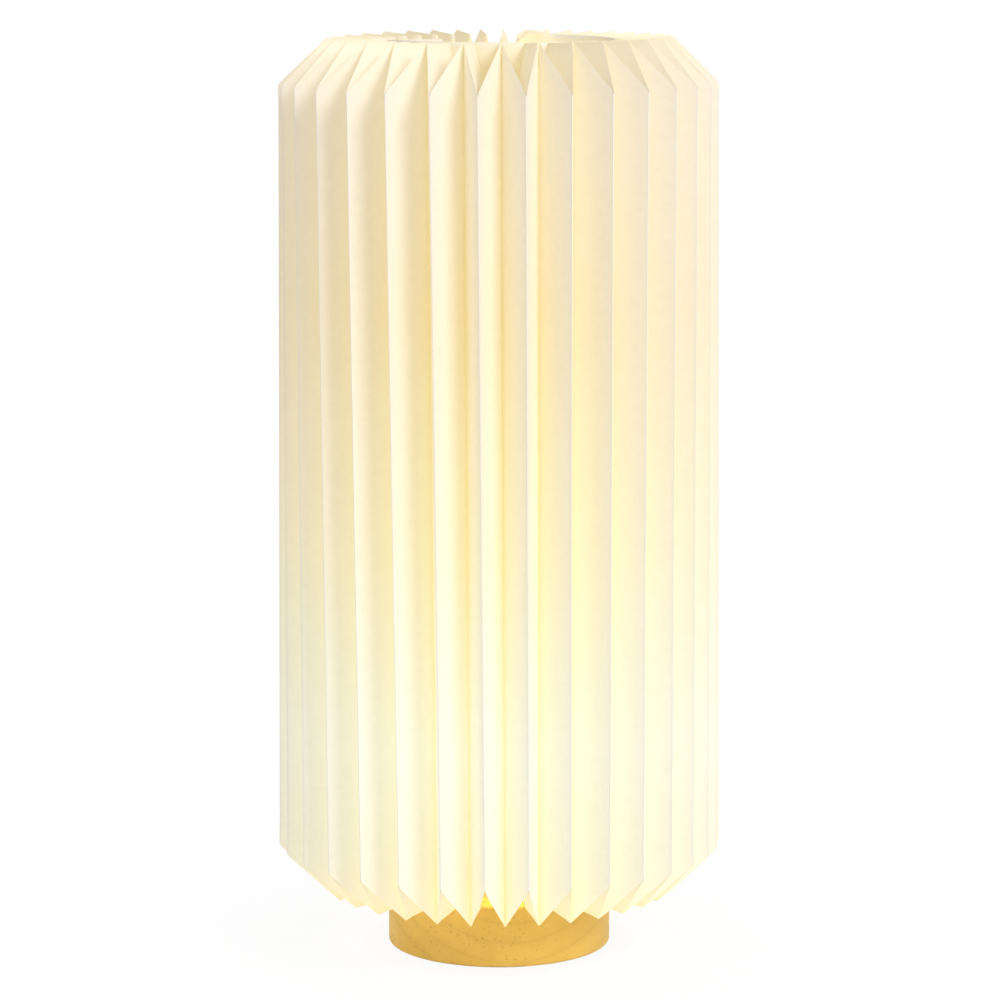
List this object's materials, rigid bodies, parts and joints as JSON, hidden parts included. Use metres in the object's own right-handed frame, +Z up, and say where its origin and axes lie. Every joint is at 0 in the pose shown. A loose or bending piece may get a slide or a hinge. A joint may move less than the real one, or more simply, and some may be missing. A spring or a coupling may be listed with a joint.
{
  "type": "table lamp",
  "caption": "Table lamp with a tall cylindrical pleated paper shade, folded in at both ends, on a small turned wooden base with a screw lampholder and a round bulb.",
  "frame": {"origin": "centre of the foot pad's underside, on the surface the lamp stands on", "axes": "+Z up along the lamp's axis, the lamp's front faces -Y, the cord inlet faces +Y"},
  "size_m": [0.1997, 0.1997, 0.4095],
  "materials": {
    "felt": "matte felt",
    "wood": "oiled pale wood",
    "steel": "zinc plated",
    "cover_paint": "satin black",
    "grommet_rubber": "matte",
    "brass": "plain",
    "holder_plastic": "satin white",
    "holder_ceramic": "unglazed",
    "carrier_wire": "white powder coat",
    "bulb_diffuser": "opal",
    "bulb_plastic": "white",
    "bulb_cap_metal": "nickel plated",
    "cap_glass": "black",
    "led_board": "white solder mask",
    "circuit_board": "green",
    "paper": "uncoated translucent paper",
    "tape_paper": "uncoated paper"
  },
  "bodies": {
    "base": {"foot_pad": "felt", "wood_base": "wood", "base_weight": "steel", "weight_screws": "steel", "bottom_cover": "cover_paint", "cover_screws": "steel", "cord_grommet": "grommet_rubber", "threaded_stem": "steel", "stem_washer": "steel", "lower_stem_nut": "brass", "upper_stem_nut": "brass", "holder_cap": "holder_plastic", "holder_body": "holder_plastic", "holder_insulator": "holder_ceramic", "screw_shell": "brass", "centre_contact": "brass", "side_contact": "brass", "terminal_screws": "brass", "shade_carrier": "carrier_wire"},
    "shade": {"pleated_shade": "paper", "seam_strip": "tape_paper", "mouth_band": "tape_paper"},
    "bulb": {"bulb_globe": "bulb_diffuser", "bulb_housing": "bulb_plastic", "bulb_cap_shell": "bulb_cap_metal", "bulb_cap_insulator": "cap_glass", "bulb_tip_contact": "brass", "bulb_led_board": "led_board", "bulb_driver_board": "circuit_board"},
    "clamp_ring_body": {"clamp_ring": "holder_plastic"}
  },
  "joints": [
    {"name": "shade_lift", "type": "slide", "parent": "base", "child": "shade", "axis": [0, 0, 1], "range_m": [0, 0.12]},
    {"name": "bulb_turn", "type": "hinge", "parent": "base", "child": "bulb", "pos_m": [0, 0, 0.072], "axis": [0, 0, 1], "range_deg": [0, 1440]},
    {"name": "clamp_ring_turn", "type": "hinge", "parent": "base", "child": "clamp_ring_body", "pos_m": [0, 0, 0.049], "axis": [0, 0, 1], "range_deg": [0, 1080]}
  ]
}
